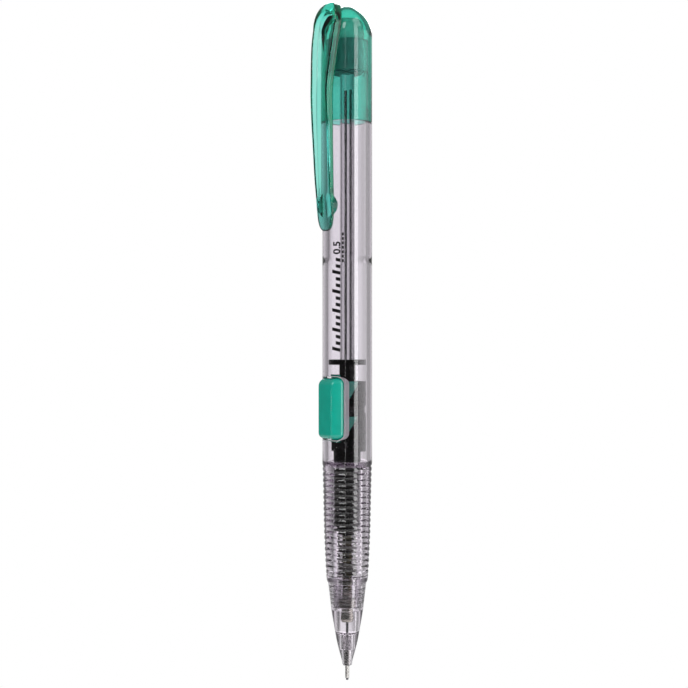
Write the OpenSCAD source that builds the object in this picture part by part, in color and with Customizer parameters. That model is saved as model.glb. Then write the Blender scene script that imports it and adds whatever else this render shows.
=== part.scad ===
// Side-advance lead holder for 0.5 mm lead: a clear barrel with a press button in its
// side, a ramped slider that drives the chuck, a screw-on front cone and a clip cap.
// +Z runs along the axis towards the cap, the origin is the centre of the lead sleeve's
// free end, and the clip and the button face -Y.

/* [Barrel] */
// Radius of the straight part of the barrel
barrel_r = 5.45; // [5.40:0.05:5.60]
// Height of the barrel's front face, where the cone meets it
barrel_front_z = 21; // [20.9:0.05:21.1]
// Height of the shoulder that the cap's rim sits on
shoulder_z = 121.2; // [120:0.1:123]
// Height of the rim of the neck inside the cap
neck_rim_z = 139; // [138.5:0.1:139.5]
// Radius of the bore that the slider runs in
slide_bore_r = 4.35; // [4.33:0.01:4.40]
// Distance from one grip rib to the next
rib_pitch = 1.25; // [1.15:0.01:1.27]
// Depth of the grooves between the grip ribs
rib_depth = 0.16; // [0.08:0.01:0.25]

/* [Button] */
// Distance of the button's face from the axis
button_face = 6.38; // [6.1:0.01:6.6]
// Length of the button along the barrel
button_len = 13.1; // [12.9:0.1:13.3]
// Half of the width of the button's face
button_half_face = 2.15; // [1.9:0.01:2.4]
// How far the button can be pressed
press = 1.5; // [1.2:0.05:1.5]
// Advance of the slider for each millimetre of press
ramp = 1.34; // [1.2:0.01:1.34]

/* [Cap and clip] */
// Height of the top of the cap's dome
dome_z = 147; // [146.8:0.1:147.4]
// Height over which the dome curves in
dome_h = 6.4; // [6:0.1:6.6]
// Height of the lower end of the clip
clip_end_z = 97.4; // [97:0.1:98]
// Width of the rim on each side of the clip's channel
clip_rim = 0.7; // [0.6:0.05:0.8]

/* [Lead and chuck] */
// Radius of the lead, nominal size 0.5
lead_r = 0.28; // [0.275:0.001:0.285]
// Length of a stick of lead
lead_len = 60; // [50:1:60]
// How far the lead stands out of its sleeve
lead_out = 0.45; // [0.2:0.05:0.6]
// Outer radius of the lead sleeve
sleeve_r = 0.432; // [0.432:0.002:0.45]
// Length of the sleeve that stands out of the cone
sleeve_len = 2.8; // [2.5:0.1:2.8]
// Outer radius of the chuck's stem
chuck_r = 1.05; // [1.0:0.01:1.08]

/* [Hidden] */
$fn = 96;

fit = 0.04;        // radial play of a fit that slides
touch = 0.02;      // radial play of a fit that is assembled once
over = 1;          // how far a cutter runs past what it cuts

// Heights of the inner steps, from the front to the back
retainer_z = 6.4;
chuck_cavity_z = 9.8;
chuck_tip_z = 12.6;
ring_stop_z = 14.95;
neck_front_z = 15.8;
ring_seat_z = 17.85;
jaw_root_z = 19.5;
spring_z = 22;
slider_front_z = 33;
slide_bore_z = 46.5;
bore_step_z = 91;
eraser_seat_z = 132.2;

// Screw joint between the barrel and the cone, drawn as rings
thread_pitch = 0.9;
thread_crest_r = 3.2;
thread_root_r = 3.0;
thread_z = 16.2;
thread_turns = 5;

grip_z = 22.6;
rib_count = 18;
collar_z = 68.5;
collar_h = 1.1;
bead_count = 3;
bead_pitch = 0.95;
neck_r = 4.68;
tube_r = 1.62;
tube_bore_r = 1.2;
clear_r = 0.02 + lead_r;

// Radius of the barrel's outside over the grip, by height
GRIP = [[21, 4.45], [21.3, 4.6], [23.5, 4.8], [32, 5.14], [43, 5.35], [45.6, barrel_r]];
// Outline of the front cone: height, radius
CONE = [[2.8, 0.9], [3.1, 1.05], [3.9, 1.17], [6, 1.75], [8.2, 2.3], [10.4, 2.7], [11.5, 2.88],
        [12.6, 3.08], [14.8, 3.47], [17, 3.72], [19, 3.95], [20.6, 4.17], [20.94, 4.1]];
// Stations of the clip: height, distance of its face from the axis, half of its width
CLIP = [[clip_end_z, 6.06, 0.2], [clip_end_z + 0.4, 6.22, 1.1], [clip_end_z + 1.2, 6.34, 1.85],
        [100, 6.45, 2.4],
        [104.6, 6.8, 2.56], [109, 7.2, 2.7], [115.5, 7.56, 2.8], [121, 7.9, 2.9],
        [126.5, 8.27, 2.8], [130, 8.1, 3.0], [134, 7.8, 3.4], [138.5, 7.3, 3.9],
        [143, 6.6, 4.1], [145.3, 5.75, 3.85], [146.6, 4.84, 3.45], [147.3, 3.9, 2.9],
        [147.5, 3.3, 2.4]];
// Thickness of the clip by height
CLIP_T = [[clip_end_z, 0.4], [99, 0.78], [101, 0.96], [105, 1.27], [109, 1.5], [115.5, 1.7],
          [121, 1.9], [126.5, 2.15], [138, 1.6], [141, 1.2]];
// Depth of the clip's channel by height
CHANNEL = [[105, 0.5], [109, 0.7], [121, 1.1], [130, 1.4], [143, 1.4], [145, 1.0]];

// Catmull-Rom point between p1 and p2
function blend(p0, p1, p2, p3, t) =
    0.5 * (2 * p1 + (p2 - p0) * t + (2 * p0 - 5 * p1 + 4 * p2 - p3) * t * t
           + (3 * p1 - p0 - 3 * p2 + p3) * t * t * t);

// The stations of a list, joined by a smooth curve with n steps between two of them
function smooth(p, n = 4) =
    [for (i = [0:len(p) - 2]) for (k = [0:n - 1])
         blend(p[max(i - 1, 0)], p[i], p[i + 1], p[min(i + 2, len(p) - 1)], k / n),
     p[len(p) - 1]];

function reversed(p) = [for (i = [len(p) - 1:-1:0]) p[i]];
function swapped(p) = [for (q = p) [q[1], q[0]]];

// Radius of the dome at height z: a superellipse
dome_p = 1.7;
function dome_radius(z, r, top, h) =
    r * pow(1 - pow(min(max((z - top + h) / h, 0), 1), dome_p), 1 / dome_p);

// Rings of a thread between two radii, as points (radius, height)
function thread_points(r_a, r_b, z0, turns, pitch) =
    [for (i = [0:turns - 1]) each [[r_a, z0 + i * pitch], [r_b, z0 + (i + 0.35) * pitch],
                                   [r_b, z0 + (i + 0.55) * pitch], [r_a, z0 + (i + 0.9) * pitch]]];

// Grip ribs as points (radius, height)
function rib_points() =
    [for (i = [0:rib_count - 1]) let (z = grip_z + i * rib_pitch) each
        [[lookup(z, GRIP) - rib_depth, z + 0.08 * rib_pitch],
         [lookup(z, GRIP), z + 0.3 * rib_pitch],
         [lookup(z, GRIP) + 0.01, z + 0.7 * rib_pitch],
         [lookup(z, GRIP) - rib_depth, z + 0.92 * rib_pitch]]];

// Low snap beads round the neck, as points (radius, height)
bead_h = 0.1;
function bead_points(z0) =
    [for (i = [0:bead_count - 1]) let (z = z0 + i * bead_pitch) each
        [[neck_r, z], [neck_r + bead_h, z + 0.15], [neck_r + bead_h, z + 0.4], [neck_r, z + 0.55]]];

// A straight tube or ring
module ring(r_out, r_in, z0, z1) {
    rotate_extrude() translate([r_in, z0]) square([r_out - r_in, z1 - z0]);
}

// A rounded rectangle, true arcs at its corners
module rounded(w, h, r) {
    square([w - 2 * r, h], center = true);
    square([w, h - 2 * r], center = true);
    for (x = [-1, 1], y = [-1, 1]) translate([x * (w / 2 - r), y * (h / 2 - r)]) circle(r);
}

// Puts a profile drawn as (y, z) upright and gives it the width w along X
module along_x(w, x0 = 0) {
    translate([x0, 0, 0]) rotate([90, 0, 90]) linear_extrude(w, center = true) children();
}

// Puts an outline drawn as (x, z) upright and runs it from y0 to y1
module along_y(y0, y1) {
    translate([0, y1, 0]) rotate([90, 0, 0]) linear_extrude(y1 - y0) children();
}

slot_gap = 0.3;
slot_half = 3.55;
slot_len = button_len + 2 * slot_gap;
button_z = 52.5 + button_len / 2;
slot_corner = 1.4;

module barrel() {
    outer = concat([[thread_root_r - 0.15, neck_front_z]],
                   thread_points(thread_root_r, thread_crest_r, thread_z, thread_turns, thread_pitch),
                   [[thread_root_r, barrel_front_z], [GRIP[0][1], barrel_front_z], [GRIP[1][1], GRIP[1][0]]],
                   rib_points(),
                   [[barrel_r, GRIP[5][0]], [barrel_r, shoulder_z], [neck_r, shoulder_z]],
                   bead_points(shoulder_z + 0.6),
                   [[neck_r, neck_rim_z - 0.3], [neck_r - 0.3, neck_rim_z]]);
    ring_bore_r = 2;
    stem_bore_r = 1.35;
    spring_bore_r = 3.1;
    tube_space_r = 4.05;
    eraser_bore_r = 3.74;
    inner = [[eraser_bore_r, neck_rim_z], [eraser_bore_r, eraser_seat_z],
             [tube_space_r, eraser_seat_z - 0.4], [tube_space_r, bore_step_z + 0.3],
             [slide_bore_r, bore_step_z], [slide_bore_r, slide_bore_z + 0.9],
             [spring_bore_r, slide_bore_z], [spring_bore_r, spring_z], [stem_bore_r, spring_z],
             [stem_bore_r, ring_seat_z], [ring_bore_r, ring_seat_z], [ring_bore_r, neck_front_z]];
    color([0.88, 0.87, 0.89, 0.35]) difference() {
        rotate_extrude() polygon(concat(outer, inner));
        along_y(-barrel_r - over, 0) translate([0, button_z]) rounded(2 * slot_half, slot_len, slot_corner);
    }
}

module front_cone() {
    thread_bore_r = thread_crest_r + fit;
    pocket_r = 1;
    cavity_r = 1.8;
    ring_cavity_r = 2.35;
    sleeve_bore_r = 0.65;
    inner = concat([[thread_bore_r + 0.1, CONE[12][0]]],
                   reversed(thread_points(thread_bore_r, thread_bore_r + 0.12, thread_z, thread_turns,
                                          thread_pitch)),
                   [[thread_bore_r, neck_front_z - 0.1], [ring_cavity_r, neck_front_z - 0.1],
                    [ring_cavity_r, ring_stop_z], [cavity_r, ring_stop_z],
                    [cavity_r, chuck_cavity_z + 0.5], [cavity_r - 0.5, chuck_cavity_z],
                    [pocket_r, chuck_cavity_z], [pocket_r, retainer_z],
                    [sleeve_bore_r, retainer_z], [sleeve_bore_r, sleeve_len]]);
    color([0.88, 0.87, 0.89, 0.35])
        rotate_extrude() polygon(concat(swapped(CONE), inner));
}

module lead_sleeve() {
    root_r = 0.63;
    color("silver") rotate_extrude()
        polygon([[clear_r, 0], [sleeve_r, 0], [sleeve_r, sleeve_len], [root_r, sleeve_len],
                 [root_r, retainer_z], [clear_r, retainer_z]]);
}

module lead_retainer() {
    retainer_r = 0.98;
    waist = 0.12;
    back_z = 9.4;
    mid_z = (retainer_z + back_z) / 2;
    color([0.25, 0.25, 0.27]) rotate_extrude()
        polygon([[clear_r, retainer_z + touch], [retainer_r, retainer_z + touch],
                 [retainer_r, mid_z - 0.5], [retainer_r - waist, mid_z - 0.3],
                 [retainer_r - waist, mid_z + 0.3], [retainer_r, mid_z + 0.5],
                 [retainer_r, back_z], [clear_r, back_z]]);
}

// Radii of the chuck's head, and the heights between which it tapers
head_r = 1.42;
head_z = 13.2;
head_back_z = 17.5;

module chuck_stem() {
    stem_bore_r = 0.42;
    stem_top_z = 36;
    color([0.78, 0.62, 0.3]) ring(chuck_r, stem_bore_r, jaw_root_z + 0.03, stem_top_z);
}

// One of the chuck's three jaws, facing the direction turn
module chuck_jaw(turn) {
    slit = 0.08;
    grip_bore_r = lead_r + 0.01;
    relief_r = 0.42;
    relief_z = 15.4;
    apex = slit / sin(60);
    reach = 3;
    color([0.78, 0.62, 0.3]) intersection() {
        rotate_extrude()
            polygon([[grip_bore_r, chuck_tip_z], [head_r - 0.3, chuck_tip_z], [head_r, head_z],
                     [chuck_r, head_back_z], [chuck_r, jaw_root_z], [relief_r, jaw_root_z],
                     [relief_r, relief_z + 0.2], [grip_bore_r, relief_z]]);
        rotate([0, 0, turn]) translate([0, 0, chuck_tip_z - over])
            linear_extrude(jaw_root_z - chuck_tip_z + 2 * over)
                polygon([[apex, 0], [apex + reach / 2, -reach * sin(60)], [apex + reach, 0],
                         [apex + reach / 2, reach * sin(60)]]);
    }
}

module chuck_jaw_a() { chuck_jaw(90); }
module chuck_jaw_b() { chuck_jaw(210); }
module chuck_jaw_c() { chuck_jaw(330); }

module clutch_ring() {
    ring_r = 1.9;
    front_z = 15.6;
    back_z = 17.8;
    play = 0.03;
    front_bore_r = head_r + (chuck_r - head_r) * (front_z - head_z) / (head_back_z - head_z) + play;
    bevel = 0.15;
    color([0.8, 0.66, 0.36]) rotate_extrude()
        polygon([[front_bore_r, front_z], [ring_r - bevel, front_z], [ring_r, front_z + bevel],
                 [ring_r, back_z - bevel], [ring_r - bevel, back_z], [chuck_r + play, back_z],
                 [chuck_r + play, head_back_z]]);
}

// A coil of wire: the pitch is small over the first and the last turn, which lie flat
module return_spring() {
    coil_r = 2.02;
    wire_r = 0.2;
    turns = 15;
    steps = 18;
    sides = 6;
    rings = turns * steps;
    low = spring_z + wire_r + touch;
    high = slider_front_z - wire_r - touch;
    closed = 1 / turns;
    flat = 2.2 * wire_r / (high - low);
    // Share of the height reached after the share s of the turns
    function rise(s) = s < closed ? flat * s / closed
                     : s > 1 - closed ? 1 - flat * (1 - s) / closed
                     : flat + (1 - 2 * flat) * (s - closed) / (1 - 2 * closed);
    points = [for (i = [0:rings]) let (a = 360 * i / steps, z = low + (high - low) * rise(i / rings))
                  for (k = [0:sides - 1]) let (b = 360 * k / sides, r = coil_r + wire_r * cos(b))
                      [r * cos(a), r * sin(a), z + wire_r * sin(b)]];
    walls = [for (i = [0:rings - 1]) for (k = [0:sides - 1])
                 let (a = i * sides + k, b = i * sides + (k + 1) % sides)
                     [a, a + sides, b + sides, b]];
    ends = [[for (k = [0:sides - 1]) k], [for (k = [sides - 1:-1:0]) rings * sides + k]];
    color([0.7, 0.7, 0.72]) polyhedron(points, concat(walls, ends), convexity = 10);
}

// Ramps: the lower face of each of the button's ears, and the slider's face under it
plate_inner = 2.9;                 // distance of the button plate's inside from the axis
ear_low = [53.4, 60.3];            // height where each ear's ramp starts at the plate
ear_high = [57.3, 64.9];           // height of the top of each ear
ear_in = 2.45;                     // inner and outer distance of an ear from the middle plane
ear_out = 3.4;
ramp_gap = 0.1;
function ramp_z(y, z0) = z0 + ramp * (y + plate_inner);

module cam_slider() {
    sleeve_out_r = 2.95;
    block_z = 49.6;
    block_top = 51.9;
    block_front = 2.55;
    spine_half = 2.3;
    spine_front = -1.15;
    spine_back = 3.2;
    wing_back = 2.4;
    wing_half = 3.3;
    wing_front = -1.25;
    wing_reach = 0.6;
    wing_low = [block_z, 59.5];
    stem_r = 1.8;
    lead_way_r = 0.5;
    collar_r = 4.1;
    socket_z = 36;
    color([0.05, 0.04, 0.05]) difference() {
        union() {
            translate([0, 0, slider_front_z]) cylinder(h = block_z - slider_front_z + 0.5, r = sleeve_out_r);
            translate([-2.4, -block_front, block_z])
                cube([4.8, block_front + spine_back - 0.3, block_top - block_z]);
            translate([-spine_half, spine_front, block_z])
                cube([2 * spine_half, spine_back - spine_front, ear_high[1] - block_z]);
            for (side = [-1, 1], i = [0, 1])
                along_x(wing_half - spine_half + 0.2, side * (wing_half + spine_half - 0.2) / 2)
                    polygon([[wing_front, wing_low[i]],
                             [wing_front, ramp_z(wing_front, ear_low[i]) - ramp_gap],
                             [wing_reach, ramp_z(wing_reach, ear_low[i]) - ramp_gap],
                             [wing_back, ramp_z(wing_reach, ear_low[i]) - ramp_gap],
                             [wing_back, wing_low[i]]]);
            intersection() {
                translate([0, 0, ear_high[1] - 0.1]) cylinder(h = collar_z - ear_high[1] + 0.2, r = stem_r);
                translate([-stem_r, spine_front, 0]) cube([2 * stem_r, 2 * stem_r, 2 * collar_z]);
            }
            translate([0, 0, collar_z]) cylinder(h = collar_h, r = collar_r);
        }
        translate([0, 0, slider_front_z - over]) cylinder(h = collar_z, r = lead_way_r);
        translate([0, 0, slider_front_z - over]) cylinder(h = socket_z - slider_front_z + over, r = chuck_r);
        translate([0, 0, collar_z]) cylinder(h = collar_h + over, r = tube_r);
    }
}

module lead_tube() {
    top_z = 131.9;
    color([0.86, 0.85, 0.87, 0.4]) ring(tube_r, tube_bore_r, collar_z, top_z);
}

module side_button() {
    bottom = button_z - button_len / 2;
    top = button_z + button_len / 2;
    skirt = 4.2;
    lip = 0.5;
    lip_half = 2.2;
    lip_outer = 3.62;
    face_round = 0.45;
    low_round = 1.3;
    high_round = 2;
    corner = 1.3;
    // Section across the barrel, as (x, y): a trapezoid with rounded shoulders
    section = smooth([[ear_out, -plate_inner], [ear_out, -skirt], [2.85, -5.2],
                      [button_half_face + 0.22, -button_face + 0.5],
                      [button_half_face - face_round, -button_face + 0.04], [0, -button_face]], 5);
    outline = concat(section, [for (q = reversed(section)) [-q[0], q[1]]]);
    color([0.05, 0.6, 0.52]) {
        intersection() {
            translate([0, 0, bottom - over]) linear_extrude(button_len + 2 * over) polygon(outline);
            along_x(2 * ear_out + 2)
                polygon([[-plate_inner + 0.1, bottom], [-skirt - 0.6, bottom],
                         for (a = [0:15:90]) [-button_face + low_round * (1 - sin(a)),
                                              bottom + low_round * (1 - cos(a))],
                         for (a = [0:15:90]) [-button_face + high_round * (1 - cos(a)),
                                              top - high_round * (1 - sin(a))],
                         [-skirt + 0.3, top], [-plate_inner + 0.1, top]]);
            along_y(-button_face - over, 0) translate([0, button_z]) rounded(2 * ear_out, button_len, corner);
        }
        for (side = [-1, 1], i = [0, 1])
            along_x(ear_out - ear_in, side * (ear_out + ear_in) / 2)
                polygon([[-plate_inner - 0.2, ear_low[i] - 0.2 * ramp], [0, ramp_z(0, ear_low[i])],
                         [0, ear_high[i]], [-plate_inner - 0.2, ear_high[i]]]);
        translate([-lip_half, -lip_outer, bottom - slot_gap - lip])
            cube([2 * lip_half, lip_outer - plate_inner, button_len + 2 * (slot_gap + lip)]);
    }
}

module loaded_lead() {
    color([0.2, 0.2, 0.22]) translate([0, 0, -lead_out]) cylinder(h = lead_len, r = lead_r);
}

// A stick of lead that stands in the tube behind the slider
module spare_lead(turn) {
    off = tube_bore_r - lead_r - 0.06;
    color([0.2, 0.2, 0.22])
        rotate([0, 0, turn]) translate([off, 0, collar_z + touch]) cylinder(h = lead_len, r = lead_r);
}

module spare_lead_a() { spare_lead(20); }
module spare_lead_b() { spare_lead(165); }

module eraser() {
    eraser_r = 3.7;
    eraser_top = 143.6;
    round_r = 1.3;
    color([0.95, 0.95, 0.93]) rotate_extrude()
        polygon([[0, eraser_seat_z + 0.1], [eraser_r - 0.2, eraser_seat_z + 0.1],
                 [eraser_r, eraser_seat_z + 0.3],
                 for (a = [0:15:90]) [eraser_r - round_r + round_r * cos(a),
                                      eraser_top - round_r + round_r * sin(a)],
                 [0, eraser_top]]);
}

// Outline of the clip seen from the front, as (x, z), drawn in by the distance inset
module clip_outline(inset, z0, z1) {
    side = [for (q = smooth(CLIP, 3)) if (q[0] > z0 && q[0] < z1) [max(q[2] - inset, 0.1), q[0]]];
    polygon(concat(side, [for (q = reversed(side)) [-q[0], q[1]]]));
}

// The clip as it is seen from the side, without its channel
module clip_side() {
    face = [for (q = smooth(CLIP, 3)) [-q[1], q[0]]];
    back = [for (q = smooth(CLIP, 3)) if (q[0] < 139.5) [-q[1] + lookup(q[0], CLIP_T), q[0]]];
    polygon(concat(face, [[-2.1, 146.6], [-1.4, 145.5], [-3, 142], [-5, 139.5]], reversed(back)));
}

module clip_cap() {
    wall = 0.9;
    bore_r = neck_r + bead_h + fit;
    rim_z = shoulder_z + 0.03;
    channel_low = 105;
    channel_high = 145;
    channel_end = 1.9;
    inner_top = dome_z - wall;
    pad_r = 2.65;
    pad_z = 102.9;
    pad_front = 6.3;
    pad_back = 4.3;
    pad_gap = 0.1;
    step = dome_h / 12;
    outer = [for (i = [0:12]) let (z = dome_z - dome_h + i * step) [dome_radius(z, barrel_r, dome_z, dome_h), z]];
    inner = [for (i = [0:12]) let (z = inner_top - dome_h + i * step) [dome_radius(z, bore_r, inner_top, dome_h), z]];
    color([0.13, 0.7, 0.59, 0.75]) difference() {
        union() {
            rotate_extrude() polygon(concat([[0, rim_z], [barrel_r, rim_z]], outer));
            intersection() {
                along_x(2 * over + 9) clip_side();
                along_y(-12, 0) clip_outline(0, 0, dome_z + over);
            }
            difference() {
                along_y(-pad_front, -pad_back) translate([0, pad_z]) circle(pad_r);
                translate([0, 0, pad_z - pad_r - over]) cylinder(h = 2 * (pad_r + over), r = barrel_r + pad_gap);
            }
        }
        rotate_extrude() polygon(concat([[0, rim_z - over], [bore_r, rim_z - over]], inner));
        intersection() {
            along_x(12) polygon(concat(
                [for (q = smooth(CLIP, 3)) if (q[0] > channel_low && q[0] < channel_high) [-q[1] - over, q[0]]],
                reversed([for (q = smooth(CLIP, 3)) if (q[0] > channel_low && q[0] < channel_high)
                              [-q[1] + lookup(q[0], CHANNEL), q[0]]])));
            along_y(-12, 0) union() {
                clip_outline(clip_rim, channel_low + channel_end, channel_high - 2.4);
                translate([0, channel_low + channel_end + 0.2]) circle(channel_end);
                translate([0, channel_high - 2.7]) circle(2.7);
            }
        }
    }
}

barrel();
front_cone();
lead_sleeve();
lead_retainer();
chuck_stem();
chuck_jaw_a();
chuck_jaw_b();
chuck_jaw_c();
clutch_ring();
return_spring();
cam_slider();
lead_tube();
side_button();
loaded_lead();
spare_lead_a();
spare_lead_b();
eraser();
clip_cap();
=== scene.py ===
import math

import bpy
import numpy as np
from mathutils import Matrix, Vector


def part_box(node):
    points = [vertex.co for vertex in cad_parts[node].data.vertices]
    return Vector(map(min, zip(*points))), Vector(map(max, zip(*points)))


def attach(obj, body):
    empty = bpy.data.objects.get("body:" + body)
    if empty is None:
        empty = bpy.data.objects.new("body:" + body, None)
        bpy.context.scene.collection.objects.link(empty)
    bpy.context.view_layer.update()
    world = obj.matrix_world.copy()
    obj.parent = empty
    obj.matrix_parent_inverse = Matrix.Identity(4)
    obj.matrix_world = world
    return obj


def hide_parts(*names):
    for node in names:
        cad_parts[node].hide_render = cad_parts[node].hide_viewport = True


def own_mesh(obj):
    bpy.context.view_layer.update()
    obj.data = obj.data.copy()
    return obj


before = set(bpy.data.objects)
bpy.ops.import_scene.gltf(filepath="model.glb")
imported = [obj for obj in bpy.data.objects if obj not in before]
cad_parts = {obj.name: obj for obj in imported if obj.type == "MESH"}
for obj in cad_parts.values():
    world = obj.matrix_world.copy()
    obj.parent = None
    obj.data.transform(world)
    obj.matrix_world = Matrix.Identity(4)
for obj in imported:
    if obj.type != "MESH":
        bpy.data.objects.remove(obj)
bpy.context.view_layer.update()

# The frame is the CAD's: +Z along the axis towards the cap, the origin at the lead sleeve's
# free end, and the clip and the button facing -Y. Shapes are worked out in millimetres, and
# mesh() turns them to metres. Angles round the axis are measured from -Y towards +X.

MM = 0.001
TURN = 2 * math.pi


def srgb(hex_value):
    """A #rrggbb colour as the linear values that the shaders take."""
    parts = np.array([int(hex_value[i : i + 2], 16) / 255 for i in (1, 3, 5)])
    linear = np.where(parts <= 0.04045, parts / 12.92, ((parts + 0.055) / 1.055) ** 2.4)
    return (*linear.tolist(), 1.0)


def smoothstep(t):
    """0 below 0, 1 above 1, and 3t^2 - 2t^3 between them."""
    t = np.clip(t, 0, 1)
    return t * t * (3 - 2 * t)


# ---------------------------------------------------------------- mesh tools


def rounded_line(points, steps=4):
    """A line through (a, b, round) corners, each turned into a quadratic curve that leaves the
    two edges at the distance round, or at most 0.45 of the shorter edge."""
    p = np.array([q[:2] for q in points], float)
    out = [p[0]]
    for i in range(1, len(p) - 1):
        to_last, to_next = p[i - 1] - p[i], p[i + 1] - p[i]
        reach = min(points[i][2], 0.45 * np.hypot(*to_last), 0.45 * np.hypot(*to_next))
        if reach < 1e-6:
            out.append(p[i])
            continue
        start = p[i] + to_last / np.hypot(*to_last) * reach
        end = p[i] + to_next / np.hypot(*to_next) * reach
        t = np.linspace(0, 1, steps + 1)[:, None]
        out.extend((1 - t) ** 2 * start + 2 * t * (1 - t) * p[i] + t**2 * end)
    out.append(p[-1])
    return np.array(out)


def divided(line, longest):
    """The line with each stretch cut into equal steps no longer than longest."""
    out = [line[:1]]
    for a, b in zip(line[:-1], line[1:]):
        n = max(1, math.ceil(np.hypot(*(b - a)) / longest - 1e-6))
        out.append(a + (b - a) * (np.arange(1, n + 1) / n)[:, None])
    return np.concatenate(out)


def eased(stations, n):
    """Catmull-Rom curve through the rows of stations, with n steps between two of them."""
    p = np.array(stations, float)
    p = np.concatenate([p[:1], p, p[-1:]])
    t = (np.arange(n) / n)[:, None, None]
    a, b, c, d = (p[None, i : len(p) - 3 + i] for i in range(4))
    rows = 0.5 * (2 * b + (c - a) * t + (2 * a - 5 * b + 4 * c - d) * t**2 + (3 * b - a - 3 * c + d) * t**3)
    rows = rows.transpose(1, 0, 2).reshape(-1, p.shape[1])
    return np.concatenate([rows, p[-1:]])


def revolved(line, angles, swell=None):
    """A line of (radius, height) carried round the axis: x = r sin a, y = -r cos a. swell takes
    the grids of r, z and a and gives the radius that each point has."""
    r, z = line[:, :1], line[:, 1:]
    a = np.broadcast_to(angles, (len(line), np.shape(angles)[-1]))
    r, z = np.broadcast_to(r, a.shape), np.broadcast_to(z, a.shape)
    if swell is not None:
        r = swell(r, z, a)
    return np.stack([r * np.sin(a), -r * np.cos(a), z], -1)


def skin(grid, wrap_rows=False, keep=None):
    """Quads over a grid whose columns run round, with a fan over each end if the rows don't wrap.
    keep marks the cells that stay."""
    rows, cols = grid.shape[:2]
    i = np.arange(rows if wrap_rows else rows - 1)[:, None]
    j = np.arange(cols)[None, :]
    up, over = (i + 1) % rows, (j + 1) % cols
    quads = np.stack([i * cols + j, i * cols + over, up * cols + over, up * cols + j], -1)
    quads = quads[keep] if keep is not None else quads.reshape(-1, 4)
    points, faces = grid.reshape(-1, 3), quads.tolist()
    if not wrap_rows:
        ring = np.arange(cols)
        low, high = len(points), len(points) + 1
        points = np.concatenate([points, grid[:1].mean(1), grid[-1:].mean(1)])
        faces += np.stack([np.full(cols, low), (ring + 1) % cols, ring], -1).tolist()
        top = (rows - 1) * cols
        faces += np.stack([np.full(cols, high), top + ring, top + (ring + 1) % cols], -1).tolist()
    return points, faces


def prism(outline, low, high, axis=0):
    """An outline of two coordinates run along the third axis, from low to high."""
    outline = np.array(outline, float)
    n = len(outline)
    ends = [np.insert(outline, axis, v, axis=1) for v in (low, high)]
    i = np.arange(n)
    sides = np.stack([i, (i + 1) % n, n + (i + 1) % n, n + i], -1).tolist()
    return np.concatenate(ends), sides + [i[::-1].tolist(), (n + i).tolist()]


def outward(points, faces):
    """The faces, all turned round if the volume that they close comes out negative."""
    volume = 0.0
    for size in {len(f) for f in faces}:
        f = np.array([g for g in faces if len(g) == size])
        for k in range(1, size - 1):
            a, b, c = (points[f[:, m]] for m in (0, k, k + 1))
            volume += np.einsum("ij,ij->", a, np.cross(b, c))
    return [f[::-1] for f in faces] if volume < 0 else faces


def mesh(name, shells, finish, sharp=38):
    """One object of closed shells in millimetres, smooth but for edges over sharp degrees."""
    points, faces, start = [], [], 0
    for p, f in shells:
        f = outward(p, f)
        points.append(p)
        faces += [[v + start for v in g] for g in f]
        start += len(p)
    points = np.concatenate(points) * MM
    used = np.zeros(len(points), bool)
    used[np.concatenate([np.array(f) for f in faces])] = True
    place = np.cumsum(used) - 1
    data = bpy.data.meshes.new(name)
    data.from_pydata(points[used].tolist(), [], [place[f].tolist() for f in faces])
    data.validate()
    data.shade_smooth()
    data.set_sharp_from_angle(angle=math.radians(sharp))
    made = bpy.data.objects.new(name, data)
    bpy.context.scene.collection.objects.link(made)
    made.data.materials.append(finish)
    return made


def combined(base, other, operation):
    """base after an exact boolean with other, which is then removed."""
    step = base.modifiers.new("combine", "BOOLEAN")
    step.object, step.operation, step.solver = other, operation, "EXACT"
    shape = base.evaluated_get(bpy.context.evaluated_depsgraph_get())
    data = bpy.data.meshes.new_from_object(shape)
    base.modifiers.clear()
    base.data = data
    bpy.data.objects.remove(other)
    return base


def place(piece, body, slot, *nodes):
    """Rides the piece on its body and hides the nodes it stands for; slot is not used."""
    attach(piece, body)
    if nodes:
        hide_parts(*nodes)
    return piece


# ---------------------------------------------------------------- finishes


def node(tree, kind, inputs=None, **settings):
    """Adds a node. settings are its own properties; inputs are values or sockets to link."""
    made = tree.nodes.new(kind)
    for key, value in settings.items():
        setattr(made, key, value)
    for key, value in (inputs or {}).items():
        if isinstance(value, bpy.types.NodeSocket):
            tree.links.new(value, made.inputs[key])
        else:
            made.inputs[key].default_value = value
    return made


def finish(name, **values):
    """A new material with one Principled shader, whose sockets take values. Returns the
    material, its tree, the shader and the object's own coordinates."""
    made = bpy.data.materials.new(name)
    made.use_nodes = True
    tree = made.node_tree
    tree.nodes.clear()
    shader = node(tree, "ShaderNodeBsdfPrincipled", {k.replace("_", " "): v for k, v in values.items()})
    node(tree, "ShaderNodeOutputMaterial", {"Surface": shader.outputs[0]})
    where = node(tree, "ShaderNodeTexCoord").outputs["Object"]
    return made, tree, shader, where


def speckle(tree, where, size_mm, detail=2.0, stretch=(1, 1, 1)):
    """Noise whose blotches are about size_mm across, longer where stretch is under 1."""
    scaled = node(tree, "ShaderNodeMapping", {"Vector": where, "Scale": stretch})
    return node(
        tree,
        "ShaderNodeTexNoise",
        {"Vector": scaled.outputs[0], "Scale": 1 / (size_mm * MM), "Detail": detail, "Roughness": 0.55},
    ).outputs["Fac"]


def between(tree, amount, low, high):
    """amount, from 0.3 to 0.7 as noise mostly is, spread over low to high."""
    return node(
        tree,
        "ShaderNodeMapRange",
        {"Value": amount, "From Min": 0.3, "From Max": 0.7, "To Min": low, "To Max": high},
    ).outputs[0]


def tinted(tree, amount, dark, light):
    """A colour between two sRGB hex colours."""
    return node(
        tree,
        "ShaderNodeMix",
        {"Factor": amount, "A": srgb(dark), "B": srgb(light)},
        data_type="RGBA",
    ).outputs["Result"]


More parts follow.
